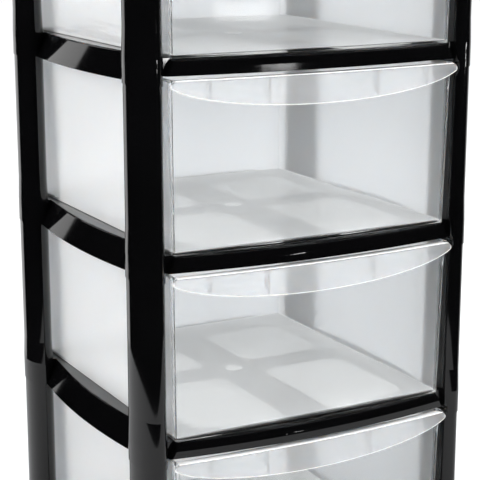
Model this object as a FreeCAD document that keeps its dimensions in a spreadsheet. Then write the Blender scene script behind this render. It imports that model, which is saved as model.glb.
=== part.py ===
import FreeCAD, Part
import os

# Plastic drawer tower: moulded shelf frames stacked on oval post tubes, one sliding tub per tier.
# Lengths are millimetres. +X is the right side seen from the front, -Y is the front, +Z is up.
# The origin is on the floor, midway between the four feet.

TIERS = 4

SIZES = [
    # Tower
    ("tier_pitch", 185, "collar seam to collar seam"),
    ("post_spacing_x", 348, "post axis to post axis, side to side"),
    ("post_spacing_y", 296, "post axis to post axis, front to back"),
    # Post tubes
    ("post_thickness", 28, "short axis of the oval post"),
    ("post_depth", 57, "long axis of the oval post"),
    ("post_turn", 4, "degrees that each oval is turned to follow the bowed plan"),
    ("post_wall", 2, "wall of the tube"),
    ("plug_length", 14, "reduced end of the tube that enters the collar above"),
    ("flare_length", 24, "length over which the foot of the tube widens to the collar"),
    ("crown_thickness", 10, "thicker stretch of wall under the plug"),
    # Collars of the frames
    ("collar_step", 0.8, "how far the collar stands proud of the tube below it"),
    ("collar_wall", 2.4, "wall of the collar round the plug"),
    ("spigot_height", 18, "upright spigot inside the foot of the tube above"),
    ("spigot_wall", 2.2, "wall of the spigot"),
    ("socket_gap", 0.2, "play between a plug or spigot and its socket"),
    ("web_width", 20, "corner web between collar and deck"),
    ("web_length", 34, "corner web along the post"),
    # Shelf moulding
    ("deck_height", 24.5, "top of the deck above the collar seam"),
    ("deck_thickness", 2.5, "deck plate"),
    ("shell_wall", 2.5, "skirt and rail walls"),
    ("side_overhang", 9.5, "post axis to the foot of the side skirt at mid depth"),
    ("side_slope", 14, "how far the side skirt leans in from foot to deck"),
    ("side_bow", 850, "plan radius of the side skirts"),
    ("front_overhang", 38, "post axis to the nose of the front rail at mid width"),
    ("rear_overhang", 34, "post axis to the rear skirt at mid width"),
    ("front_bow", 940, "plan radius of the front and rear rails"),
    ("rail_lift", 8.5, "underside of the front rail above the collar seam"),
    ("nose_radius", 9, "rounded nose of the front rail"),
    ("skirt_radius", 2.5, "rounded top edge of the other sides"),
    # Windows of the shelf
    ("side_border", 49, "post axis to the outer edge of a window"),
    ("front_border", 18, "nose of the front rail to the front edge of the front windows"),
    ("window_bow", 430, "plan radius of the front edge of the front windows"),
    ("rear_border", 56, "rear skirt to the rear edge of the rear windows"),
    ("bar_lengthwise", 50, "width of the bar that runs front to back"),
    ("bar_crosswise", 38, "width of the bar that runs side to side"),
    ("window_radius", 16, "corner radius of the windows"),
    ("rim_wall", 2, "downturned rim round each window"),
    ("rim_lift", 1.5, "rims end this far above the underside of the front rail"),
    # Back stop on the deck
    ("stop_length", 240, "length of the back stop"),
    ("stop_height", 3, "height of the back stop over the deck"),
    ("stop_thickness", 2.5, "thickness of the back stop"),
    ("stop_gap", 0.6, "play between a closed drawer and the back stop"),
    # Top cover
    ("lid_thickness", 11, "plate of the top cover above deck height"),
    ("lid_overhang", 3, "how far the top cover stands out past collars and rails"),
    ("lid_corner", 26, "plan corner radius of the top cover"),
    ("lid_front_bulge", 10, "how far the front and back of the top cover bow out"),
    ("lid_side_bulge", 3.5, "how far the sides of the top cover bow out"),
    ("lid_edge", 5, "rounded top edge of the top cover"),
    ("lid_border", 12, "raised border of the top cover"),
    ("lid_recess", 2.5, "depth of the tray inside the border"),
    # Feet
    ("foot_height", 14, "floor to the lowest collar seam"),
    ("foot_taper", 1.8, "how far the foot draws in towards the floor"),
    ("foot_plug", 10, "plug of the foot inside the lowest collar"),
    # Drawers
    ("side_play", 1.5, "rim of the drawer to the post on each side"),
    ("top_play", 3.5, "top of the drawer to the front rail above it"),
    ("drawer_wall", 2, "drawer walls"),
    ("drawer_floor", 2.2, "drawer floor"),
    ("side_draft", 2.5, "how far each drawer side leans out from floor to rim"),
    ("front_draft", 3, "how far the drawer front leans out"),
    ("rear_draft", 5, "how far the drawer back leans out"),
    ("front_setback", 7, "drawer front at the rim behind the nose of the rail"),
    ("rear_setback", 15, "back of the drawer floor in front of the rear skirt"),
    ("drawer_bow", 2250, "plan radius of the drawer front"),
    ("drawer_corner", 3, "upright corner radius of the drawer"),
    ("drawer_heel", 1, "rounded edge under the drawer"),
    ("rim_width", 2, "flange round the top of the drawer"),
    ("rim_thickness", 2.2, "thickness of that flange"),
    # Pull lip of the drawer
    ("lip_overhang", 1.5, "how far the tips of the pull lip pass the rim at the sides"),
    ("lip_depth", 29.5, "depth of the apron at its middle"),
    ("lip_sweep", 5, "how far the oval of the apron would run on past its tips"),
    ("lip_tip", 7, "rounded upper corners of the tips"),
    ("lip_thickness", 2, "apron, ledge and gussets"),
    ("lip_standoff", 9, "drawer front at the rim to the face of the apron at mid width"),
    ("lip_bow", 1500, "plan radius of the apron"),
    ("gusset_pitch", 60.5, "spacing of the four gussets from the middle"),
    ("gusset_depth", 25, "depth of a gusset at the apron"),
    ("gusset_foot", 7, "length of the level foot of a gusset behind the face of the apron"),
    # Overrun of every cutting solid past the face that it cuts
    ("overrun", 1, "how far a cut runs past a face"),
]

UPRIGHT_SHARE = 0.9  # least height of a corner edge, as a share of its block

doc = FreeCAD.newDocument("DrawerTower")
sheet = doc.addObject("Spreadsheet::Sheet", "Sizes")
for row, (alias, value, meaning) in enumerate(SIZES, start=1):
    sheet.set(f"A{row}", meaning)
    sheet.set(f"B{row}", str(value))
    sheet.setAlias(f"B{row}", alias)
doc.recompute()


def size(alias):
    """The value of a named size, for the few properties that take no expression."""
    return float(sheet.get(alias))


def plain(skin):
    """The length behind the name of a wall, or nothing where there is no wall."""
    return 0 if skin == "0" else size(skin)


def with_sheet(expression):
    """Write each alias in an expression as a reference to the sheet."""
    words = expression.replace("(", " ( ").replace(")", " ) ").split()
    names = {alias for alias, _, _ in SIZES}
    return " ".join(f"Sizes.{word}" if word in names else word for word in words)


def bind(thing, **properties):
    """Bind properties to expressions. x, y and z stand for the place of the object."""
    places = {"x": "Placement.Base.x", "y": "Placement.Base.y", "z": "Placement.Base.z"}
    for name, expression in properties.items():
        thing.setExpression(places.get(name, name), with_sheet(expression))
    return thing


# Building blocks

def box(name, x, y, z):
    """A block between pairs of expressions along x, y and z."""
    block = doc.addObject("Part::Box", name)
    bind(block, x=x[0], y=y[0], z=z[0])
    return bind(
        block,
        Length=f"( {x[1]} ) - ( {x[0]} )",
        Width=f"( {y[1]} ) - ( {y[0]} )",
        Height=f"( {z[1]} ) - ( {z[0]} )",
    )


def disc(name, radius, x, y, z, height):
    """An upright cylinder, which may have a very large radius to make a bowed face."""
    cylinder = doc.addObject("Part::Cylinder", name)
    return bind(cylinder, Radius=radius, x=x, y=y, z=z, Height=height)


def leaning_disc(name, low, high, x, y, z, height):
    """An upright cone between two radii, which makes a bowed face that leans."""
    cone = doc.addObject("Part::Cone", name)
    return bind(cone, Radius1=low, Radius2=high, x=x, y=y, z=z, Height=height)


def ellipse(name, long_half, short_half, z):
    """An oval line in a level plane, long axis along X."""
    curve = doc.addObject("Part::Ellipse", name)
    return bind(curve, MajorRadius=long_half, MinorRadius=short_half, z=z)


def oval(name, long_half, short_half, z, height):
    """An upright oval prism, long axis along X."""
    prism = doc.addObject("Part::Extrusion", name)
    prism.Base = ellipse(name + "_line", long_half, short_half, z)
    prism.DirMode = "Custom"
    prism.Dir = FreeCAD.Vector(0, 0, 1)
    prism.Solid = True
    return bind(prism, LengthFwd=height)


def oval_loft(name, low, high, z, height):
    """An upright oval that widens or narrows between two (long, short) pairs."""
    loft = doc.addObject("Part::Loft", name)
    top = f"( {z} ) + ( {height} )"
    loft.Sections = [
        ellipse(name + "_low", low[0], low[1], z),
        ellipse(name + "_high", high[0], high[1], top),
    ]
    loft.Solid = True
    loft.Ruled = True
    return loft


def fuse(name, *things):
    if len(things) == 1:
        group = doc.addObject("Part::Compound", name)
        group.Links = list(things)
        return group
    union = doc.addObject("Part::MultiFuse", name)
    union.Shapes = list(things)
    union.Refine = True
    return union


def common(name, *things):
    overlap = doc.addObject("Part::MultiCommon", name)
    overlap.Shapes = list(things)
    return overlap


def cut(name, base, tool):
    remainder = doc.addObject("Part::Cut", name)
    remainder.Base = base
    remainder.Tool = tool
    remainder.Refine = True
    return remainder


def mirrored(name, source, normal):
    image = doc.addObject("Part::Mirroring", name)
    image.Source = source
    image.Normal = FreeCAD.Vector(*normal)
    return image


def both_sides(name, source):
    """A solid and its mirror image across the centre plane x = 0."""
    return fuse(name, source, mirrored(name + "_image", source, (1, 0, 0)))


def all_corners(name, source):
    """A solid and its images in both centre planes."""
    pair = both_sides(name + "_pair", source)
    return fuse(name, pair, mirrored(name + "_rear", pair, (0, 1, 0)))


def upright_edges(edge, block):
    """The corner edges of a block that run from its bottom to its top."""
    return edge.BoundBox.ZLength > UPRIGHT_SHARE * block.BoundBox.ZLength


def rounded(name, source, radius, wanted):
    """Round the edges of a solid that a test picks."""
    doc.recompute()
    fillet = doc.addObject("Part::Fillet", name)
    fillet.Base = source
    edges = enumerate(source.Shape.Edges, start=1)
    picked = [n for n, edge in edges if wanted(edge, source.Shape)]
    fillet.Edges = [(n, radius, radius) for n in picked]
    doc.recompute()
    return fillet


def rounded_box(name, x, y, z, radius):
    """A block with four round upright corners, between pairs of expressions."""
    inner_x = (f"{x[0]} + {radius}", f"{x[1]} - {radius}")
    inner_y = (f"{y[0]} + {radius}", f"{y[1]} - {radius}")
    parts = [box(name + "_wide", x, inner_y, z), box(name + "_deep", inner_x, y, z)]
    height = f"( {z[1]} ) - ( {z[0]} )"
    for i, corner_x in enumerate(inner_x):
        for j, corner_y in enumerate(inner_y):
            parts.append(disc(f"{name}_corner_{i}{j}", radius, corner_x, corner_y, z[0], height))
    return fuse(name, *parts)


# Sizes shared by posts, collars and feet, as (long half axis, short half axis) of ovals

def inset(pair, distance):
    return (f"{pair[0]} - {distance}", f"{pair[1]} - {distance}")


TUBE = ("post_depth / 2", "post_thickness / 2")
COLLAR = ("post_depth / 2 + collar_step", "post_thickness / 2 + collar_step")
SOCKET = inset(COLLAR, "collar_wall")
PLUG = inset(SOCKET, "socket_gap")
TUBE_BORE = inset(TUBE, "post_wall")
PLUG_BORE = inset(PLUG, "post_wall")
SPIGOT = inset(TUBE_BORE, "socket_gap")
SPIGOT_BORE = inset(SPIGOT, "spigot_wall")

SIDE_REACH = "( post_spacing_x / 2 + side_overhang )"
FRONT_REACH = "( post_spacing_y / 2 + front_overhang )"
REAR_REACH = "( post_spacing_y / 2 + rear_overhang )"
SKIN_LOW = "deck_height - deck_thickness"
RIM_TOP = "( tier_pitch - deck_height + rail_lift - top_play )"
RIM_HALF = "( ( post_spacing_x - post_thickness ) / 2 - side_play )"
TOP_HALF = f"( {RIM_HALF} - rim_width )"
FRONT_TOP = f"( {FRONT_REACH} - front_setback )"
FRONT_FLOOR = f"( {FRONT_TOP} - front_draft )"
REAR_FLOOR = f"( {REAR_REACH} - rear_setback )"
LIP_REACH = f"( {FRONT_TOP} + lip_standoff )"
LIP_HALF = f"( {RIM_HALF} + lip_overhang )"
TUBE_LENGTH = "tier_pitch - deck_height"


# Post tube, upright from its seat on a collar

def make_post_tube():
    foot = oval_loft("tube_flare", COLLAR, TUBE, "0", "flare_length")
    shaft = oval("tube_shaft", *TUBE, "flare_length", f"{TUBE_LENGTH} - flare_length")
    plug = oval("tube_plug", *PLUG, TUBE_LENGTH, "plug_length")
    crown = f"{TUBE_LENGTH} - crown_thickness"
    bore = oval("tube_bore", *TUBE_BORE, "0", crown)
    vent = oval("tube_vent", *PLUG_BORE, "0", f"{TUBE_LENGTH} + plug_length")
    outside = fuse("tube_outside", foot, shaft, plug)
    return cut("tube_pattern", outside, fuse("tube_inside", bore, vent))


# Corner collar of a moulding, at the front left post

def place_at_post(thing):
    """Turn a solid with its long axis along X to the front left post."""
    thing.Placement = FreeCAD.Placement(
        FreeCAD.Vector(0, 0, 0),
        FreeCAD.Rotation(FreeCAD.Vector(0, 0, 1), 90 + size("post_turn")),
    )
    return bind(thing, x="- post_spacing_x / 2", y="- post_spacing_y / 2")


def make_collars(name, with_spigot):
    outside = [oval(name + "_ring", *COLLAR, "0", "deck_height")]
    inside = [oval(name + "_socket", *SOCKET, "0", "plug_length")]
    if with_spigot:
        outside.append(oval(name + "_spigot", *SPIGOT, "deck_height", "spigot_height"))
        inside.append(oval(name + "_core", *SPIGOT_BORE, "0", "deck_height + spigot_height"))
    outer = place_at_post(fuse(name + "_outer", *outside))
    inner = place_at_post(fuse(name + "_inner", *inside))
    web = box(
        name + "_web",
        ("- post_spacing_x / 2", "web_width - post_spacing_x / 2"),
        ("- ( post_spacing_y + web_length ) / 2", "- ( post_spacing_y - web_length ) / 2"),
        ("rail_lift", "deck_height"),
    )
    solids = all_corners(name + "_solids", fuse(name + "_corner", outer, web))
    hollows = all_corners(name + "_hollows", inner)
    return solids, hollows


# Deck shell: bowed outline, leaning side skirts, rounded nose, open underneath

def bowed_block(name, skin, top):
    """The block inside the bowed outline, drawn in by a wall and up to a height."""
    lean = f"side_slope * ( {top} ) / deck_height"
    foot = f"side_bow - {skin}"
    faces = []
    for side, x in (("left", f"side_bow - {SIDE_REACH}"), ("right", f"{SIDE_REACH} - side_bow")):
        faces.append(leaning_disc(f"{name}_{side}", foot, f"{foot} - {lean}", x, "0", "0", top))
    bow = f"front_bow - {skin}"
    faces.append(disc(name + "_front", bow, "0", f"front_bow - {FRONT_REACH}", "0", top))
    faces.append(disc(name + "_rear", bow, "0", f"{REAR_REACH} - front_bow", "0", top))
    return common(name, *faces)


def soften_top(name, block, skin):
    """Round the nose of the front rail, then the top edges of the other sides."""
    doc.recompute()
    upper = block.Shape.BoundBox.ZMax - size("deck_thickness")
    front = -size("post_spacing_y") / 2

    def nose_edge(edge, _):
        return edge.BoundBox.ZMin > upper and edge.CenterOfMass.y < front

    def skirt_edge(edge, _):
        level = edge.BoundBox.ZLength < size("overrun") / 2
        return edge.BoundBox.ZMin > upper and level and edge.CenterOfMass.y > front

    nosed = rounded(name + "_nosed", block, size("nose_radius") - skin, nose_edge)
    return rounded(name, nosed, size("skirt_radius"), skirt_edge)


def make_deck():
    outer = soften_top("deck_outside", bowed_block("deck_outer", "0", "deck_height"), 0)
    inner_block = bowed_block("deck_inner", "shell_wall", SKIN_LOW)
    inner = soften_top("deck_inside", inner_block, size("shell_wall"))
    return cut("deck_shell", outer, inner)


def open_under_rail(name):
    """Room under the front and rear rails from post to post, and above the drawer below."""
    z = ("- overrun", "rail_lift")
    across = ("- post_spacing_x / 2", "post_spacing_x / 2")
    half = f"( {RIM_HALF} + side_play / 2 )"
    front_y = (f"- {FRONT_REACH} - overrun", "- post_spacing_y / 2")
    rear_y = ("post_spacing_y / 2", f"{REAR_REACH} + overrun")
    front = box(name + "_front", across, front_y, z)
    rear = box(name + "_rear", across, rear_y, z)
    between = ("- post_spacing_y / 2 - overrun", "post_spacing_y / 2 + overrun")
    drawer = box(name + "_drawer", (f"- {half}", half), between, z)
    return fuse(name, front, rear, drawer)


WINDOW_X = ("bar_lengthwise / 2", "post_spacing_x / 2 - side_border")
WINDOW_FRONT = f"( {FRONT_REACH} - front_border )"
WINDOW_ROWS = {
    "front": (f"- {WINDOW_FRONT}", "- bar_crosswise / 2"),
    "rear": ("bar_crosswise / 2", f"{REAR_REACH} - rear_border"),
}


def window_block(name, row, rim, z):
    """One window on the right side, widened by a rim. The front edge of the front row is bowed."""
    y = WINDOW_ROWS[row]
    block = box(
        name + "_box",
        (f"{WINDOW_X[0]} - {rim}", f"{WINDOW_X[1]} + {rim}"),
        (f"{y[0]} - {rim}", f"{y[1]} + {rim}"),
        z,
    )
    if row == "front":
        height = f"( {z[1]} ) - ( {z[0]} )"
        middle = f"window_bow - {WINDOW_FRONT}"
        bow = disc(name + "_bow", f"window_bow + {rim}", "0", middle, z[0], height)
        block = common(name + "_block", block, bow)
    return rounded(name, block, size("window_radius") + plain(rim), upright_edges)


def make_window_rims():
    """Downturned rims round the windows, and the windows themselves."""
    rim_z = ("rail_lift + rim_lift", SKIN_LOW)
    window_z = ("rail_lift", "deck_height + overrun")
    rims = [window_block(f"rim_{row}", row, "rim_wall", rim_z) for row in WINDOW_ROWS]
    windows = [window_block(f"window_{row}", row, "0", window_z) for row in WINDOW_ROWS]
    rim = both_sides("rims", fuse("rims_right", *rims))
    window = both_sides("windows", fuse("windows_right", *windows))
    return rim, window


def make_frame():
    """Shelf moulding with its seam plane at z = 0."""
    collars, hollows = make_collars("collar", with_spigot=True)
    rims, windows = make_window_rims()
    stop = box(
        "back_stop",
        ("- stop_length / 2", "stop_length / 2"),
        (f"{REAR_FLOOR} + stop_gap", f"{REAR_FLOOR} + stop_gap + stop_thickness"),
        (SKIN_LOW, "deck_height + stop_height"),
    )
    deck = cut("deck_over_drawer", make_deck(), open_under_rail("under_rail"))
    body = fuse("frame_body", deck, collars, rims, stop)
    return cut("frame_pattern", body, fuse("frame_openings", hollows, windows))


# Top cover

def bulge_radius(half_width, bulge):
    """Radius of a face that stands out by a bulge over a half width."""
    return f"( ( {half_width} ) ^ 2 + {bulge} ^ 2 ) / ( 2 * {bulge} )"


LID_SIDE = "( ( post_spacing_x + post_thickness ) / 2 + collar_step + lid_overhang )"
LID_FRONT = "( ( post_spacing_y + post_depth ) / 2 + collar_step + lid_overhang )"


def lid_outline(name, skin, low, high):
    """Bowed and rounded plate that covers rails and collars, drawn in by a wall."""
    height = f"( {high} ) - ( {low} )"
    side_radius = bulge_radius(LID_FRONT, "lid_side_bulge")
    front_radius = bulge_radius(LID_SIDE, "lid_front_bulge")
    side = f"{side_radius} - {LID_SIDE} - lid_side_bulge"
    front = f"{front_radius} - {LID_FRONT} - lid_front_bulge"
    faces = [
        disc(name + "_left", f"{side_radius} - {skin}", side, "0", low, height),
        disc(name + "_right", f"{side_radius} - {skin}", f"- ( {side} )", "0", low, height),
        disc(name + "_front", f"{front_radius} - {skin}", "0", front, low, height),
        disc(name + "_back", f"{front_radius} - {skin}", "0", f"- ( {front} )", low, height),
    ]
    block = common(name + "_block", *faces)
    return rounded(name, block, size("lid_corner") - plain(skin), upright_edges)


def make_top_cover():
    """Closing cover with blind collars and a shallow tray on top."""
    collars, hollows = make_collars("cap_collar", with_spigot=False)
    top = "deck_height + lid_thickness"
    plate = lid_outline("lid", "0", SKIN_LOW, top)
    highest = size("deck_height") + size("lid_thickness") - size("overrun")

    def top_edge(edge, _):
        return edge.BoundBox.ZMin > highest

    plate_soft = rounded("lid_soft", plate, size("lid_edge"), top_edge)
    tray = lid_outline("tray", "lid_border", f"{top} - lid_recess", f"{top} + overrun")
    ceiling = f"{top} - lid_recess - deck_thickness"
    hollow = lid_outline("lid_hollow", "lid_edge", SKIN_LOW, ceiling)
    skirt = cut(
        "lid_skirt",
        bowed_block("lid_skirt_outer", "0", "deck_height"),
        bowed_block("lid_skirt_inner", "shell_wall", "deck_height"),
    )
    shell = cut("lid_shell", plate_soft, fuse("lid_voids", tray, hollow))
    skirt_open = cut("lid_skirt_over_drawer", skirt, open_under_rail("under_lid"))
    body = fuse("lid_body", shell, skirt_open, collars)
    return cut("top_cover_pattern", body, hollows)


# Foot plug

def make_foot():
    ground = inset(COLLAR, "foot_taper")
    pad = oval_loft("foot_pad", ground, COLLAR, "0", "foot_height")
    plug = oval("foot_plug_solid", *PLUG, "foot_height", "foot_plug")
    return fuse("foot_pattern", pad, plug)


# Drawer, with the underside of its floor at z = 0

def make_tub(name, skin):
    """Drafted tub with a bowed front, drawn in by a wall thickness."""
    wedge = doc.addObject("Part::Wedge", name + "_wedge")
    wedge.Placement.Rotation = FreeCAD.Rotation(FreeCAD.Vector(1, 0, 0), 90)
    bind(
        wedge,
        Ymin="0",
        Ymax=RIM_TOP,
        Xmin=f"{skin} + side_draft - {TOP_HALF}",
        Xmax=f"{TOP_HALF} - side_draft - {skin}",
        X2min=f"{skin} - {TOP_HALF}",
        X2max=f"{TOP_HALF} - {skin}",
        Zmin=f"{skin} - ( {REAR_FLOOR} )",
        Z2min=f"{skin} - ( {REAR_FLOOR} ) - rear_draft",
        Zmax=f"{FRONT_TOP} + overrun",
        Z2max=f"{FRONT_TOP} + overrun",
    )
    front = leaning_disc(
        name + "_front",
        f"drawer_bow - {skin}",
        f"drawer_bow + front_draft - {skin}",
        "0",
        f"drawer_bow - {FRONT_FLOOR}",
        "0",
        RIM_TOP,
    )
    block = common(name + "_block", wedge, front)
    return rounded(name, block, size("drawer_corner") - plain(skin), upright_edges)


def make_lip():
    """Pull lip: ledge, bowed apron with a half oval outline, and gussets behind it."""
    middle = f"lip_bow - {LIP_REACH}"
    low = f"{RIM_TOP} - lip_depth - overrun"
    zone = box(
        "lip_zone",
        (f"- {LIP_HALF}", LIP_HALF),
        (f"- {LIP_REACH} - overrun", f"rim_width + lip_thickness - {FRONT_FLOOR}"),
        (low, RIM_TOP),
    )

    def upper_end(edge, block):
        across = edge.BoundBox.YLength > UPRIGHT_SHARE * block.BoundBox.YLength
        return across and edge.BoundBox.ZMin > block.BoundBox.Center.z

    tips = rounded("lip_tips", zone, size("lip_tip"), upper_end)
    outline = doc.addObject("Part::Extrusion", "lip_outline")
    line = ellipse("lip_outline_line", f"{LIP_HALF} + lip_sweep", "lip_depth", RIM_TOP)
    line.Placement.Rotation = FreeCAD.Rotation(FreeCAD.Vector(1, 0, 0), 90)
    outline.Base = line
    outline.DirMode = "Custom"
    outline.Dir = FreeCAD.Vector(0, -1, 0)
    outline.Solid = True
    bind(outline, LengthFwd=f"{LIP_REACH} + overrun")
    face = disc("lip_face", "lip_bow", "0", middle, low, "lip_depth + 2 * overrun")
    block = common("lip_block", tips, outline, face)
    behind_radius = "lip_bow - lip_thickness"
    behind_height = "lip_depth + overrun - lip_thickness"
    behind = disc("lip_back", behind_radius, "0", middle, low, behind_height)
    shell = cut("lip_shell", block, behind)
    gussets = []
    for n in (1, 2):
        gusset = doc.addObject("Part::Wedge", f"gusset_{n}")
        gusset.Placement.Rotation = FreeCAD.Rotation(FreeCAD.Vector(1, 0, 0), 90)
        bind(
            gusset,
            Xmin=f"{n} * gusset_pitch - lip_thickness / 2",
            Xmax=f"{n} * gusset_pitch + lip_thickness / 2",
            X2min=f"{n} * gusset_pitch - lip_thickness / 2",
            X2max=f"{n} * gusset_pitch + lip_thickness / 2",
            Ymin=f"{RIM_TOP} - gusset_depth",
            Ymax=RIM_TOP,
            Zmin=f"{LIP_REACH} - gusset_foot",
            Zmax=LIP_REACH,
            Z2min=f"{FRONT_FLOOR} - lip_thickness",
            Z2max=LIP_REACH,
        )
        gussets.append(gusset)
    ribs = common("gussets", both_sides("gusset_pair", fuse("gussets_right", *gussets)), block)
    return fuse("lip", shell, ribs)


def make_drawer():
    outer = make_tub("tub_outer", "0")
    near = size("overrun") / 2

    def floor_edge(edge, _):
        return edge.BoundBox.ZMax < near

    outer_soft = rounded("tub_heel", outer, size("drawer_heel"), floor_edge)
    inner = make_tub("tub_inner", "drawer_wall")
    above_floor = box(
        "tub_depth",
        (f"- {RIM_HALF}", RIM_HALF),
        (f"- {FRONT_TOP} - overrun", f"{REAR_FLOOR} + rear_draft + overrun"),
        ("drawer_floor", f"{RIM_TOP} + overrun"),
    )
    cavity = common("tub_cavity", inner, above_floor)
    rim = rounded_box(
        "rim_flange",
        (f"- {RIM_HALF}", RIM_HALF),
        (f"drawer_corner - {FRONT_TOP}", f"{REAR_FLOOR} + rear_draft + rim_width"),
        (f"{RIM_TOP} - rim_thickness", RIM_TOP),
        "( drawer_corner + rim_width )",
    )
    solid = fuse("drawer_solid", outer_soft, rim, make_lip())
    return cut("drawer_pattern", solid, cavity)


# Assembly: each sub-part is a body that repeats a pattern at its own place

parts = []


def place(label, pattern, x="0", y="0", z="0", turn=0):
    body = doc.addObject("PartDesign::Body", label)
    body.Label = label
    copy = doc.addObject("PartDesign::FeatureBase", label + "_copy")
    body.Group = [copy]
    copy.BaseFeature = pattern
    body.Tip = copy
    body.Placement.Rotation = FreeCAD.Rotation(FreeCAD.Vector(0, 0, 1), turn)
    bind(body, x=x, y=y, z=z)
    parts.append(body)


def seam(tier):
    """Height of the collar seam under a tier, counted from the bottom."""
    return f"foot_height + {tier} * tier_pitch"


CORNERS = {
    "front_left": (-1, -1),
    "front_right": (1, -1),
    "rear_left": (-1, 1),
    "rear_right": (1, 1),
}

frame = make_frame()
tube = make_post_tube()
drawer = make_drawer()
cover = make_top_cover()
foot = make_foot()

for tier in range(TIERS):
    frame_name = f"shelf_frame_{tier}" if tier else "base_frame"
    place(frame_name, frame, z=seam(tier))
    place(f"drawer_{tier + 1}", drawer, z=f"{seam(tier)} + deck_height")
    for corner, (across, along) in CORNERS.items():
        place(
            f"post_{corner}_{tier + 1}",
            tube,
            x=f"{across} * post_spacing_x / 2",
            y=f"{along} * post_spacing_y / 2",
            z=f"{seam(tier)} + deck_height",
            turn=90 + across * along * size("post_turn"),
        )
place("top_cover", cover, z=seam(TIERS))
for corner, (across, along) in CORNERS.items():
    place(
        f"foot_{corner}",
        foot,
        x=f"{across} * post_spacing_x / 2",
        y=f"{along} * post_spacing_y / 2",
        turn=90 + across * along * size("post_turn"),
    )

doc.recompute()

# Every object has to be sound before anything is written

for thing in doc.Objects:
    faults = [state for state in thing.State if state in ("Invalid", "Error")]
    if faults:
        raise RuntimeError(f"{thing.Label} is {faults}")

os.makedirs("parts", exist_ok=True)
for body in parts:
    shape = body.Shape
    if shape.isNull() or not shape.isValid():
        raise RuntimeError(f"{body.Label} has no valid shape")
    print(body.Label, len(shape.Solids), round(shape.Volume), [round(v, 1) for v in (
        shape.BoundBox.XMin, shape.BoundBox.XMax, shape.BoundBox.YMin,
        shape.BoundBox.YMax, shape.BoundBox.ZMin, shape.BoundBox.ZMax)])
    shape.exportStep(f"parts/{body.Label}.step")
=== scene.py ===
import math

import bmesh
import bpy
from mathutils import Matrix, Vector


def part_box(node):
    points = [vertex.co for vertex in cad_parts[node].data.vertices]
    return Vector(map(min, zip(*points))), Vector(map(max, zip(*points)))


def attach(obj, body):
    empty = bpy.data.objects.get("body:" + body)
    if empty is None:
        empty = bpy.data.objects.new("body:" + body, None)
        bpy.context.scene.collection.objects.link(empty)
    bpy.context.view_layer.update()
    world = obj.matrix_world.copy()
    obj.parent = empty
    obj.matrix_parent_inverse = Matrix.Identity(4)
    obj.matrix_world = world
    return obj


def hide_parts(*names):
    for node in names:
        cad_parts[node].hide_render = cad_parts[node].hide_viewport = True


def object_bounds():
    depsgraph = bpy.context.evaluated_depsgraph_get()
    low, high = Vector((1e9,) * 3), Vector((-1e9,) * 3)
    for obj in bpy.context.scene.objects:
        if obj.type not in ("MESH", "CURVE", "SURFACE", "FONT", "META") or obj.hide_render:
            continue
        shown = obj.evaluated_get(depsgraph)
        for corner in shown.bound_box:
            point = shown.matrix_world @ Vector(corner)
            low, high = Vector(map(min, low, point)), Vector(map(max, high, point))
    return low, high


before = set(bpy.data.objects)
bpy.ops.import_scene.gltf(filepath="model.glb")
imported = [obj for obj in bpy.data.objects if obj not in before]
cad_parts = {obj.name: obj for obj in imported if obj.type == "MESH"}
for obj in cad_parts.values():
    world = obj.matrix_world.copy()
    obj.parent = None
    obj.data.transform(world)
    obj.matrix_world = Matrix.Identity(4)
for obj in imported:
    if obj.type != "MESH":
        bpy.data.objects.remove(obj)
cad_low, cad_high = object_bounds()

# Drawer tower: black shelf mouldings and post tubes from the frame, milky drawers built here.
# Lengths are metres. +X is the right side seen from the front, -Y is the front, +Z is up.

MM = 0.001
TIERS = 4
DRAWERS = [f"drawer_{n}" for n in range(1, TIERS + 1)]
SHELVES = ["base_frame"] + [f"shelf_frame_{n}" for n in range(1, TIERS)]
POST_NODES = [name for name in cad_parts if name.startswith("post_")]
FOOT_NODES = [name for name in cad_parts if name.startswith("foot_")]
GLOSS_NODES = SHELVES + ["top_cover"] + POST_NODES


# Node helpers

UNIT = (0.0, 1.0)


def new_material(name):
    material = bpy.data.materials.new(name)
    material.use_nodes = True
    tree = material.node_tree
    return material, tree, tree.nodes["Principled BSDF"]


def math_node(tree, operation, first, second):
    """A math node between sockets or numbers."""
    node = tree.nodes.new("ShaderNodeMath")
    node.operation = operation
    for socket, value in zip(node.inputs, (first, second)):
        if isinstance(value, (int, float)):
            socket.default_value = value
        else:
            tree.links.new(value, socket)
    return node.outputs[0]


def spread(tree, value, source, target, smooth=False):
    """Map a value from one range to another, held at its ends."""
    node = tree.nodes.new("ShaderNodeMapRange")
    if smooth:
        node.interpolation_type = "SMOOTHSTEP"
    for socket, number in zip(("From Min", "From Max", "To Min", "To Max"), source + target):
        node.inputs[socket].default_value = number
    tree.links.new(value, node.inputs["Value"])
    return node.outputs["Result"]


def object_place(tree):
    return tree.nodes.new("ShaderNodeTexCoord").outputs["Object"]


def object_noise(tree, scale, detail, roughness=0.5):
    """Noise in the object's own metres."""
    noise = tree.nodes.new("ShaderNodeTexNoise")
    noise.inputs["Scale"].default_value = scale
    noise.inputs["Detail"].default_value = detail
    noise.inputs["Roughness"].default_value = roughness
    tree.links.new(object_place(tree), noise.inputs["Vector"])
    return noise.outputs["Fac"]


def blend_colours(tree, share, first, second):
    node = tree.nodes.new("ShaderNodeMix")
    node.data_type = "RGBA"
    node.inputs["A"].default_value = first
    node.inputs["B"].default_value = second
    tree.links.new(share, node.inputs["Factor"])
    return node.outputs["Result"]


def bump(tree, shader, height, distance, strength):
    node = tree.nodes.new("ShaderNodeBump")
    node.inputs["Distance"].default_value = distance
    node.inputs["Strength"].default_value = strength
    tree.links.new(height, node.inputs["Height"])
    tree.links.new(node.outputs["Normal"], shader.inputs["Normal"])


# Black plastics

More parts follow.
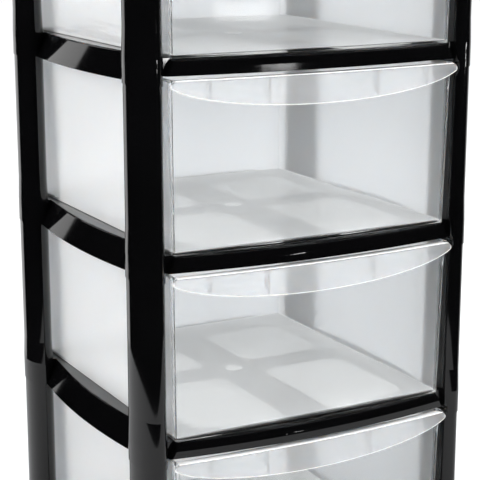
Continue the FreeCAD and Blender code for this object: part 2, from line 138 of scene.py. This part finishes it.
BLACK_IOR = 1.5
GLOSS_COLOURS = ((0.0010, 0.0010, 0.0011, 1), (0.0022, 0.0022, 0.0024, 1))
GLOSS_ROUGHNESS = (0.02, 0.09)
SATIN_COLOURS = ((0.009, 0.009, 0.009, 1), (0.016, 0.016, 0.016, 1))
SATIN_ROUGHNESS = (0.32, 0.5)


def black_gloss():
    """Polished black plastic with the faint waviness and handling marks of a moulding."""
    material, tree, shader = new_material("black_gloss")
    shade = object_noise(tree, scale=14.0, detail=2.0)
    tree.links.new(blend_colours(tree, shade, *GLOSS_COLOURS), shader.inputs["Base Color"])
    shader.inputs["IOR"].default_value = BLACK_IOR
    marks = object_noise(tree, scale=240.0, detail=6.0, roughness=0.7)
    tree.links.new(spread(tree, marks, UNIT, GLOSS_ROUGHNESS), shader.inputs["Roughness"])
    waves = object_noise(tree, scale=28.0, detail=2.0)
    bump(tree, shader, waves, distance=0.0006, strength=0.04)
    return material


def black_satin():
    """Satin black plastic of the feet, with fine grain."""
    material, tree, shader = new_material("black_satin")
    shade = object_noise(tree, scale=30.0, detail=2.0)
    tree.links.new(blend_colours(tree, shade, *SATIN_COLOURS), shader.inputs["Base Color"])
    shader.inputs["IOR"].default_value = BLACK_IOR
    grain = object_noise(tree, scale=900.0, detail=4.0)
    tree.links.new(spread(tree, grain, UNIT, SATIN_ROUGHNESS), shader.inputs["Roughness"])
    bump(tree, shader, grain, distance=0.0002, strength=0.2)
    return material


# Milky plastic of the drawers. Milk is the share of light that it scatters.

FROST_RANGE = (-0.169, -0.164)  # Y, clear front to frosted sides
FLOOR_RANGE = (0.0035, 0.0028)  # Z, wall to floor
CLEAREST = 0.99
WALL_MILK = 0.24
WALL_CLOUD = 0.04
FLOOR_MILK = 0.72
LIP_MILK = 0.1
GUSSET_MILK = 0.3
EDGE_MILK = 0.9
LAMPLIGHT_THROUGH = 0.95
MILKY_IOR = 1.18
MILKY_TINTS = ((0.975, 0.99, 1.0, 1), (0.99, 0.99, 0.98, 1))
SCATTER_RADIUS = (0.9, 1.0, 1.1)
SCATTER_SCALE = 0.004
POLISH_ROUGHNESS = (0.03, 0.07)
FROST_ROUGHNESS = (0.24, 0.3)


def milky_clear():
    """Milky plastic: polished and clear in front, frosted on the sides, the back and the floor.

    The faces of the pull lip, its edges and its gussets carry their milk as the face attribute
    milk. Lamps shine into a drawer through its walls.
    """
    material, tree, shader = new_material("milky_clear")
    split = tree.nodes.new("ShaderNodeSeparateXYZ")
    tree.links.new(object_place(tree), split.inputs[0])
    frost = spread(tree, split.outputs["Y"], FROST_RANGE, UNIT, smooth=True)
    floor = spread(tree, split.outputs["Z"], FLOOR_RANGE, UNIT)
    floor = math_node(tree, "MULTIPLY", floor, frost)
    painted = tree.nodes.new("ShaderNodeAttribute")
    painted.attribute_name = "milk"
    cloud = object_noise(tree, scale=60.0, detail=3.0)

    cloudy = spread(tree, cloud, UNIT, (WALL_MILK - WALL_CLOUD, WALL_MILK + WALL_CLOUD))
    wall = math_node(tree, "MULTIPLY", frost, cloudy)
    milk = math_node(tree, "MAXIMUM", wall, math_node(tree, "MULTIPLY", floor, FLOOR_MILK))
    milk = math_node(tree, "MAXIMUM", milk, painted.outputs["Fac"])
    clear = math_node(tree, "SUBTRACT", CLEAREST, milk)
    tree.links.new(clear, shader.inputs["Transmission Weight"])
    tree.links.new(blend_colours(tree, floor, *MILKY_TINTS), shader.inputs["Base Color"])
    shader.inputs["IOR"].default_value = MILKY_IOR

    shadow = tree.nodes.new("ShaderNodeLightPath").outputs["Is Shadow Ray"]
    lamplight = spread(tree, shadow, UNIT, (1.0, 1 - LAMPLIGHT_THROUGH))
    tree.links.new(lamplight, shader.inputs["Alpha"])
    tree.links.new(spread(tree, floor, UNIT, (1.0, 0.0)), shader.inputs["Subsurface Weight"])
    shader.inputs["Subsurface Radius"].default_value = SCATTER_RADIUS
    shader.inputs["Subsurface Scale"].default_value = SCATTER_SCALE

    polish = spread(tree, cloud, UNIT, POLISH_ROUGHNESS)
    matt = math_node(tree, "MULTIPLY", frost, spread(tree, cloud, UNIT, FROST_ROUGHNESS))
    tree.links.new(math_node(tree, "ADD", polish, matt), shader.inputs["Roughness"])
    waves = object_noise(tree, scale=20.0, detail=2.0)
    bump(tree, shader, waves, distance=0.0005, strength=0.03)
    return material


def dress(names, material):
    for name in names:
        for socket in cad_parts[name].material_slots:
            socket.material = material


dress(GLOSS_NODES, black_gloss())
dress(FOOT_NODES, black_satin())


# Sizes of the drawers

DRAWER_LOW, DRAWER_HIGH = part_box("drawer_1")
RIM_TOP = DRAWER_HIGH.z - DRAWER_LOW.z
LIP_HALF = DRAWER_HIGH.x
LIP_REACH = -DRAWER_LOW.y
REAR_REACH = DRAWER_HIGH.y

WALL = 2.0 * MM
FLOOR = 2.2 * MM
LIP_OVERHANG = 1.5 * MM
RIM_HALF = LIP_HALF - LIP_OVERHANG
RIM_WIDTH = 2.0 * MM
RIM_DEPTH = 2.2 * MM
RIM_CORNER = 5.0 * MM
SIDE_DRAFT = 2.5 * MM
FRONT_DRAFT = 3.0 * MM
REAR_DRAFT = 5.0 * MM
TUB_CORNER = 3.0 * MM
TUB_BOW = 2.25
HEEL = 0.9 * MM
LEAST_CORNER = 0.2 * MM

LIP_STANDOFF = 9.0 * MM
LIP_DEPTH = 29.5 * MM
LIP_SWEEP = 5.0 * MM
LIP_TIP = 7.0 * MM
LIP_WALL = 2.0 * MM
LIP_BEAD = LIP_WALL / 2
LIP_BOW = 1.5
LIP_END = 1.2 * MM
LIP_ZONE = 5.0 * MM
EDGE = 0.6 * MM
ROOT = 0.3 * MM

GUSSETS = (-2, -1, 1, 2)
GUSSET_PITCH = 60.5 * MM
GUSSET_DEPTH = 25.0 * MM
GUSSET_FOOT = 5.0 * MM
GUSSET_ROOT = 17.5 * MM
GUSSET_WALL = 1.8 * MM

GATE_RADIUS = 9.0 * MM
GATE_HEIGHT = 0.4 * MM
GATE_STEPS = 40

# Steps of the mesh: along the outline, over rounded edges, and up the walls as shares of RIM_TOP

FRONT_STEPS = 48
CORNER_STEPS = 8
REAR_STEPS = 12
SIDE_SHARES = (
    0.003, 0.006, 0.009, 0.012, 0.02, 0.04, 0.07, 0.12,
    0.2, 0.32, 0.45, 0.58, 0.72, 0.86, 0.95, 1.0,
)
ROUND_SHARES = (0.0, 0.25, 0.5, 0.75, 1.0)
SMALL_ROUND_SHARES = (0.0, 0.5, 1.0)
INSIDE_SHARES = (0.3, 0.6, 0.9)
OUTSIDE_SHARES = (0.8, 0.6, 0.4, 0.2)
QUARTER = math.pi / 2
SHARP_FROM = math.radians(50)


# Lines of the drawers

def arc_rise(radius, x):
    """How far a bowed line has turned away at x from its foremost point."""
    return radius - math.sqrt(radius * radius - x * x)


def tub_front(x, height):
    """Y of the outside of the drawer front."""
    lean = FRONT_DRAFT * (1 - height / RIM_TOP)
    return LIP_STANDOFF - LIP_REACH + lean + arc_rise(TUB_BOW, x)


def lip_front(x):
    """Y of the face of the pull lip."""
    return arc_rise(LIP_BOW, x) - LIP_REACH


def lip_oval(x):
    """How far the lip hangs down at x."""
    share = x / (LIP_HALF + LIP_SWEEP)
    return LIP_DEPTH * math.sqrt(1 - share * share)


def outline(side, front, rear, bow, front_corner, rear_corner, flare=0.0, flare_run=1.0):
    """Closed loop of (x, y) round a drawer: bowed front, round corners, straight sides and back.

    The loop starts at the middle of the front and runs by the right side. The sides may step in
    by a flare behind the front corners.
    """
    front_corner = max(front_corner, LEAST_CORNER)
    rear_corner = max(rear_corner, LEAST_CORNER)
    half = []
    corner_x = side - front_corner
    corner_y = front + bow - math.sqrt((bow - front_corner) ** 2 - corner_x ** 2)
    tilt = math.atan2(corner_x, front + bow - corner_y)
    for n in range(FRONT_STEPS + 1):
        angle = tilt * math.sin(QUARTER * n / FRONT_STEPS)
        half.append((bow * math.sin(angle), front + bow - bow * math.cos(angle)))
    for n in range(1, CORNER_STEPS + 1):
        angle = tilt + (QUARTER - tilt) * n / CORNER_STEPS
        x = corner_x + front_corner * math.sin(angle)
        half.append((x, corner_y - front_corner * math.cos(angle)))
    rear_side = side - flare
    rear_y = rear - rear_corner
    for share in SIDE_SHARES:
        y = corner_y + (rear_y - corner_y) * share
        fade = min(1.0, (y - corner_y) / flare_run)
        half.append((side - flare * fade * fade * (3 - 2 * fade), y))
    for n in range(1, CORNER_STEPS + 1):
        angle = QUARTER * n / CORNER_STEPS
        x = rear_side - rear_corner + rear_corner * math.cos(angle)
        half.append((x, rear_y + rear_corner * math.sin(angle)))
    for n in range(1, REAR_STEPS + 1):
        half.append(((rear_side - rear_corner) * (1 - n / REAR_STEPS), rear))
    other = [(-x, y) for x, y in half[1:-1]]
    return half + other[::-1]


def tub_outline(height, inset):
    """The wall of the tub at a height, drawn in by an inset."""
    share = height / RIM_TOP
    return outline(
        RIM_HALF - RIM_WIDTH - SIDE_DRAFT * (1 - share) - inset,
        LIP_STANDOFF - LIP_REACH + FRONT_DRAFT * (1 - share) + inset,
        REAR_REACH - RIM_WIDTH - REAR_DRAFT * (1 - share) - inset,
        TUB_BOW - inset,
        TUB_CORNER - inset,
        TUB_CORNER - inset,
    )


def shifted(loop, distance):
    """The loop moved inwards along its own normals."""
    moved = []
    count = len(loop)
    for n, (x, y) in enumerate(loop):
        ax, ay = loop[n - 1]
        bx, by = loop[(n + 1) % count]
        length = math.hypot(bx - ax, by - ay)
        moved.append((x - (by - ay) / length * distance, y + (bx - ax) / length * distance))
    return moved


def blended(first, second, shares):
    """Point by point from the first loop, at share 0, to the second, at share 1."""
    return [
        (ax + (bx - ax) * share, ay + (by - ay) * share)
        for (ax, ay), (bx, by), share in zip(first, second, shares)
    ]


def front_share(x, y):
    """1 on the lip, 0 on the flange of the sides and the back."""
    behind = y - lip_front(min(abs(x), LIP_HALF)) - LIP_END
    return max(0.0, min(1.0, 1 - behind / LIP_ZONE))


def edge_profile(loop):
    """For each point of the outer edge: share of the lip, drop of its top, depth of its foot."""
    shares, drops, depths = [], [], []
    for x, y in loop:
        share = front_share(x, y)
        over = max(0.0, abs(x) - LIP_HALF + LIP_TIP)
        round_off = LIP_TIP - math.sqrt(max(0.0, LIP_TIP ** 2 - over ** 2))
        oval = lip_oval(x)
        drop = min(round_off, oval - LIP_WALL)
        shares.append(share)
        drops.append(share * drop)
        depths.append(RIM_DEPTH + share * (oval - RIM_DEPTH))
    return shares, drops, depths


# Skin of the drawers: closed rings from the floor inside, over the rim, to the floor outside

def ring(loop, heights):
    return [Vector((x, y, z)) for (x, y), z in zip(loop, heights)]


def level_ring(loop, height):
    return ring(loop, [height] * len(loop))


def tub_inside():
    """Rings of the inside, from the floor up to the rim."""
    rings = []
    for share in ROUND_SHARES:
        angle = QUARTER * share
        inset = WALL + HEEL * (1 - math.sin(angle))
        height = FLOOR + HEEL * (1 - math.cos(angle))
        rings.append(level_ring(tub_outline(height, inset), height))
    for share in INSIDE_SHARES:
        height = RIM_TOP * share
        rings.append(level_ring(tub_outline(height, WALL), height))
    for share in SMALL_ROUND_SHARES:
        angle = QUARTER * share
        inset = WALL - EDGE * (1 - math.cos(angle))
        height = RIM_TOP - EDGE * (1 - math.sin(angle))
        rings.append(level_ring(tub_outline(height, inset), height))
    return rings


def lip_and_flange():
    """Rings over the ledge to the outer edge, round its foot, and back under it to the wall."""
    rings = []
    edge = outline(
        LIP_HALF, -LIP_REACH, REAR_REACH, LIP_BOW, LIP_END, RIM_CORNER,
        flare=LIP_OVERHANG, flare_run=LIP_ZONE,
    )
    shares, drops, depths = edge_profile(edge)
    land = blended(tub_outline(RIM_TOP, 0.0), shifted(edge, LIP_WALL), shares)
    rings.append(ring(land, [RIM_TOP - drop for drop in drops]))
    for share in SMALL_ROUND_SHARES:
        angle = QUARTER * share
        loop = shifted(edge, EDGE * (1 - math.sin(angle)))
        dip = EDGE * (1 - math.cos(angle))
        rings.append(ring(loop, [RIM_TOP - drop - dip for drop in drops]))
    for share in ROUND_SHARES:
        angle = math.pi * share
        loop = shifted(edge, LIP_BEAD * (1 - math.cos(angle)))
        lift = LIP_BEAD * (1 - math.sin(angle))
        rings.append(ring(loop, [RIM_TOP - depth + lift for depth in depths]))

    under = []
    for share, drop, depth in zip(shares, drops, depths):
        foot = depth - LIP_BEAD
        behind_lip = min(max(LIP_WALL, drop + LIP_BEAD), foot)
        under.append(share * behind_lip + (1 - share) * foot)
    wall = tub_outline(RIM_TOP - LIP_WALL, 0.0)
    wall_root = tub_outline(RIM_TOP - LIP_WALL, -ROOT)
    at_lip = blended(wall, shifted(edge, LIP_WALL), shares)
    at_corner = blended(wall, shifted(edge, LIP_WALL + ROOT), shares)
    at_wall = blended(wall, wall_root, shares)
    root_heights = [RIM_TOP - low - ROOT for low in under]
    rings.append(ring(at_lip, root_heights))
    rings.append(ring(at_corner, [RIM_TOP - low - ROOT / 2 for low in under]))
    rings.append(ring(at_wall, root_heights))
    rings.append(ring(wall, [RIM_TOP - low - 2 * ROOT for low in under]))
    return rings


def tub_outside():
    """Rings down the outside of the wall and round the heel."""
    rings = []
    for share in OUTSIDE_SHARES:
        height = RIM_TOP * share
        rings.append(level_ring(tub_outline(height, 0.0), height))
    for share in ROUND_SHARES:
        angle = QUARTER * share
        inset = HEEL * (1 - math.cos(angle))
        height = HEEL * (1 - math.sin(angle))
        rings.append(level_ring(tub_outline(height, inset), height))
    return rings


def skin_mesh(name, rings):
    """A closed skin: quads between rings, a face over the first and the last."""
    mesh = bpy.data.meshes.new(name)
    count = len(rings[0])
    points = [tuple(point) for one in rings for point in one]
    faces = []
    for r in range(len(rings) - 1):
        low = r * count
        for n in range(count):
            m = (n + 1) % count
            faces.append((low + n, low + m, low + count + m, low + count + n))
    faces.append(tuple(reversed(range(count))))
    last = (len(rings) - 1) * count
    faces.append(tuple(range(last, last + count)))
    mesh.from_pydata(points, [], faces)
    mesh.update()
    return mesh


# Gussets and gate mark, closed prisms that stand in the skin

def prism(work, corners, step):
    """A closed prism: a flat outline and its copy, one step further."""
    ends = [
        [work.verts.new(corner) for corner in corners],
        [work.verts.new(Vector(corner) + step) for corner in corners],
    ]
    count = len(corners)
    work.faces.new(ends[0])
    work.faces.new(reversed(ends[1]))
    for n in range(count):
        m = (n + 1) % count
        work.faces.new((ends[0][m], ends[0][n], ends[1][n], ends[1][m]))


def add_gusset(work, x):
    """Upright brace from the back of the lip to the drawer front."""
    depth = min(GUSSET_DEPTH, lip_oval(x) - LIP_WALL)
    face = lip_front(x) + LIP_WALL / 2
    wall = tub_front(x, RIM_TOP - GUSSET_ROOT)
    top = RIM_TOP - LIP_WALL / 2
    foot = RIM_TOP - depth
    root = RIM_TOP - min(GUSSET_ROOT, depth - LIP_WALL)
    profile = (
        (face, top),
        (face, foot),
        (face + GUSSET_FOOT, foot),
        (wall, root),
        (wall + WALL / 2, root),
        (wall + WALL / 2, top),
    )
    left = x - GUSSET_WALL / 2
    prism(work, [(left, y, z) for y, z in profile], Vector((GUSSET_WALL, 0, 0)))


def add_gate_mark(work):
    """The low round button that the gate of the mould leaves on the middle of the floor."""
    corners = []
    for n in range(GATE_STEPS):
        angle = 2 * math.pi * n / GATE_STEPS
        x = GATE_RADIUS * math.cos(angle)
        y = GATE_RADIUS * math.sin(angle)
        corners.append((x, y, FLOOR - GATE_HEIGHT))
    prism(work, corners, Vector((0, 0, 2 * GATE_HEIGHT)))


def face_milk(centre):
    """Milk of a face of the skin: lip, edge of the lip, or none but what the material gives."""
    ahead = tub_front(centre.x, centre.z) - centre.y
    hang = RIM_TOP - centre.z
    if hang < EDGE:
        return EDGE_MILK
    if ahead < EDGE or hang > LIP_DEPTH:
        return 0.0
    at_foot = hang > lip_oval(centre.x) - LIP_BEAD
    at_tip = abs(centre.x) > LIP_HALF - LIP_END
    return EDGE_MILK if at_foot or at_tip else LIP_MILK


def drawer_mesh():
    """The skin with its gussets and gate mark, and the milk of each face."""
    mesh = skin_mesh("drawer", tub_inside() + lip_and_flange() + tub_outside())
    work = bmesh.new()
    work.from_mesh(mesh)
    milk = work.faces.layers.float.new("milk")
    for face in work.faces:
        face[milk] = face_milk(face.calc_center_median())
    skin_faces = len(work.faces)
    for n in GUSSETS:
        add_gusset(work, n * GUSSET_PITCH)
    work.faces.ensure_lookup_table()
    for face in work.faces[skin_faces:]:
        face[milk] = GUSSET_MILK
    add_gate_mark(work)
    bmesh.ops.recalc_face_normals(work, faces=work.faces)
    work.to_mesh(mesh)
    work.free()
    mesh.shade_smooth()
    mesh.set_sharp_from_angle(angle=SHARP_FROM)
    mesh.materials.append(milky_clear())
    return mesh


DRAWER_MESH = drawer_mesh()
for name in DRAWERS:
    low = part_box(name)[0]
    piece = bpy.data.objects.new(name + "_tub", DRAWER_MESH)
    bpy.context.scene.collection.objects.link(piece)
    piece.location = (0, 0, low.z)
    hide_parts(name)
    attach(piece, name + "_body")


# Camera at the photograph's place

CAMERA_PLACE = Vector((-0.7325, -1.3677, 0.7389))
CAMERA_YAW = math.radians(28.44)
CAMERA_PITCH = math.radians(-13.32)
SENSOR_WIDTH = 36
PICTURE_PIXELS = 480
FOCAL_PIXELS = 1462
FARTHEST_SEEN = 50

camera_data = bpy.data.cameras.new("camera")
camera_data.sensor_width = SENSOR_WIDTH
camera_data.lens = FOCAL_PIXELS / PICTURE_PIXELS * SENSOR_WIDTH
camera_data.clip_end = FARTHEST_SEEN
camera = bpy.data.objects.new("camera", camera_data)
camera.location = CAMERA_PLACE
camera.rotation_euler = (QUARTER + CAMERA_PITCH, 0, -CAMERA_YAW)
bpy.context.scene.collection.objects.link(camera)
bpy.context.scene.camera = camera


# Studio: white surroundings. Mirrors see only a screen behind the tower and on its right.

SEEN_WHITE = (1.0, 1.0, 1.0, 1)
AMBIENT_TINT = (0.95, 0.97, 1.0, 1)
AMBIENT = 0.75
SCREEN_LEFT = (math.radians(-18.6), math.radians(-18))
SCREEN_RIGHT = (math.radians(100), math.radians(80))


def background(tree, colour, strength):
    """A background shader whose strength is a number or a socket."""
    node = tree.nodes.new("ShaderNodeBackground")
    node.inputs["Color"].default_value = colour
    if isinstance(strength, (int, float)):
        node.inputs["Strength"].default_value = strength
    else:
        tree.links.new(strength, node.inputs["Strength"])
    return node.outputs[0]


def mixed_shader(tree, share, first, second):
    node = tree.nodes.new("ShaderNodeMixShader")
    for socket, value in zip(node.inputs, (share, first, second)):
        tree.links.new(value, socket)
    return node.outputs[0]


def seen_or_seen_through(tree, path):
    """1 for what the camera sees, by itself or through the plastic."""
    return math_node(tree, "ADD", path["Is Camera Ray"], path["Is Transmission Ray"])


def studio_world():
    """White where it is seen or seen through the plastic, a screen in mirrors, else ambient."""
    world = bpy.data.worlds.new("studio")
    world.use_nodes = True
    tree = world.node_tree
    tree.nodes.clear()
    path = tree.nodes.new("ShaderNodeLightPath").outputs
    split = tree.nodes.new("ShaderNodeSeparateXYZ")
    direction = tree.nodes.new("ShaderNodeTexCoord").outputs["Generated"]
    tree.links.new(direction, split.inputs[0])
    bearing = math_node(tree, "ARCTAN2", split.outputs["X"], split.outputs["Y"])
    left = spread(tree, bearing, SCREEN_LEFT, UNIT, smooth=True)
    right = spread(tree, bearing, SCREEN_RIGHT, UNIT, smooth=True)
    screen = background(tree, SEEN_WHITE, math_node(tree, "MULTIPLY", left, right))
    ambient = background(tree, AMBIENT_TINT, AMBIENT)
    white = background(tree, SEEN_WHITE, 1.0)
    unseen = mixed_shader(tree, path["Is Glossy Ray"], ambient, screen)
    seen = seen_or_seen_through(tree, path)
    output = tree.nodes.new("ShaderNodeOutputWorld")
    tree.links.new(mixed_shader(tree, seen, unseen, white), output.inputs[0])
    bpy.context.scene.world = world


studio_world()


# Floor: a sheet under the tower and its surround, in the same paper

PAPER_COLOURS = ((0.84, 0.84, 0.84, 1), (0.88, 0.88, 0.88, 1))
PAPER_ROUGHNESS = 0.9
PAPER_SPECULAR = 0.1
MIRRORED_PAPER = 0.5
FLOOR_LIFT = 0.4
LIFT_REACH = (0.5, 2.4)
SHEET_RADIUS = 0.95
SURROUND_RADIUS = 9.0
FLOOR_SIDES = 96


def pale_floor():
    """Matt pale paper, seen brighter than lit away from the tower, and darker in mirrors."""
    material, tree, shader = new_material("pale_floor")
    path = tree.nodes.new("ShaderNodeLightPath").outputs
    shade = object_noise(tree, scale=40.0, detail=4.0)
    dimmed = tree.nodes.new("ShaderNodeVectorMath")
    dimmed.operation = "SCALE"
    tree.links.new(blend_colours(tree, shade, *PAPER_COLOURS), dimmed.inputs[0])
    mirrored = spread(tree, path["Is Glossy Ray"], UNIT, (1.0, MIRRORED_PAPER))
    tree.links.new(mirrored, dimmed.inputs["Scale"])
    tree.links.new(dimmed.outputs[0], shader.inputs["Base Color"])
    shader.inputs["Roughness"].default_value = PAPER_ROUGHNESS
    shader.inputs["Specular IOR Level"].default_value = PAPER_SPECULAR

    distance = tree.nodes.new("ShaderNodeVectorMath")
    distance.operation = "LENGTH"
    tree.links.new(object_place(tree), distance.inputs[0])
    lift = spread(tree, distance.outputs["Value"], LIFT_REACH, (0.0, FLOOR_LIFT), smooth=True)
    seen_lift = math_node(tree, "MULTIPLY", seen_or_seen_through(tree, path), lift)
    shader.inputs["Emission Color"].default_value = SEEN_WHITE
    tree.links.new(seen_lift, shader.inputs["Emission Strength"])
    tooth = object_noise(tree, scale=300.0, detail=2.0)
    bump(tree, shader, tooth, distance=0.0004, strength=0.1)
    return material


def floor_circle(radius):
    angles = [2 * math.pi * n / FLOOR_SIDES for n in range(FLOOR_SIDES)]
    return [(radius * math.cos(angle), radius * math.sin(angle), 0.0) for angle in angles]


def floor_piece(name, points, faces, material):
    mesh = bpy.data.meshes.new(name)
    mesh.from_pydata(points, [], faces)
    mesh.materials.append(material)
    piece = bpy.data.objects.new(name, mesh)
    bpy.context.scene.collection.objects.link(piece)
    return piece


paper = pale_floor()
sheet_edge = floor_circle(SHEET_RADIUS)
floor_piece("floor_sheet", sheet_edge, [tuple(range(FLOOR_SIDES))], paper)

surround_faces = []
for n in range(FLOOR_SIDES):
    m = (n + 1) % FLOOR_SIDES
    surround_faces.append((n, m, FLOOR_SIDES + m, FLOOR_SIDES + n))
surround_points = floor_circle(SURROUND_RADIUS) + sheet_edge
surround = floor_piece("floor_surround", surround_points, surround_faces, paper)
surround.visible_glossy = False


# Lamps: three large soft ones, and a small one that draws the streak on the rails

MIDDLE = (cad_low + cad_high) / 2
SOFT_LAMPS = {
    # name: place, side, watts
    "top_lamp": ((0.1, -0.2, 2.6), 2.2, 58),
    "left_lamp": ((-2.4, 0.3, 1.3), 1.8, 42),
    "front_lamp": ((0.9, -2.6, 1.5), 1.6, 44),
}
STREAK_PLACE = (1.15, -2.9, 0.29)
STREAK_TARGET = (0, -0.186, 0.4)
STREAK_SIZE = (0.32, 0.07)
STREAK_WATTS = 2.2


def area_lamp(name, place, target, width, height, watts):
    """A lamp that lights the scene and is itself unseen, in mirrors too."""
    data = bpy.data.lights.new(name, "AREA")
    data.shape = "RECTANGLE"
    data.size = width
    data.size_y = height
    data.energy = watts
    lamp = bpy.data.objects.new(name, data)
    lamp.location = place
    lamp.rotation_euler = (Vector(target) - Vector(place)).to_track_quat("-Z", "Y").to_euler()
    lamp.visible_camera = False
    lamp.visible_transmission = False
    lamp.visible_glossy = False
    bpy.context.scene.collection.objects.link(lamp)
    return lamp


for name, (place, side, watts) in SOFT_LAMPS.items():
    area_lamp(name, place, MIDDLE, side, side, watts)
streak = area_lamp("streak_lamp", STREAK_PLACE, STREAK_TARGET, *STREAK_SIZE, STREAK_WATTS)
streak.visible_glossy = True

bpy.context.scene.view_settings.view_transform = "Standard"
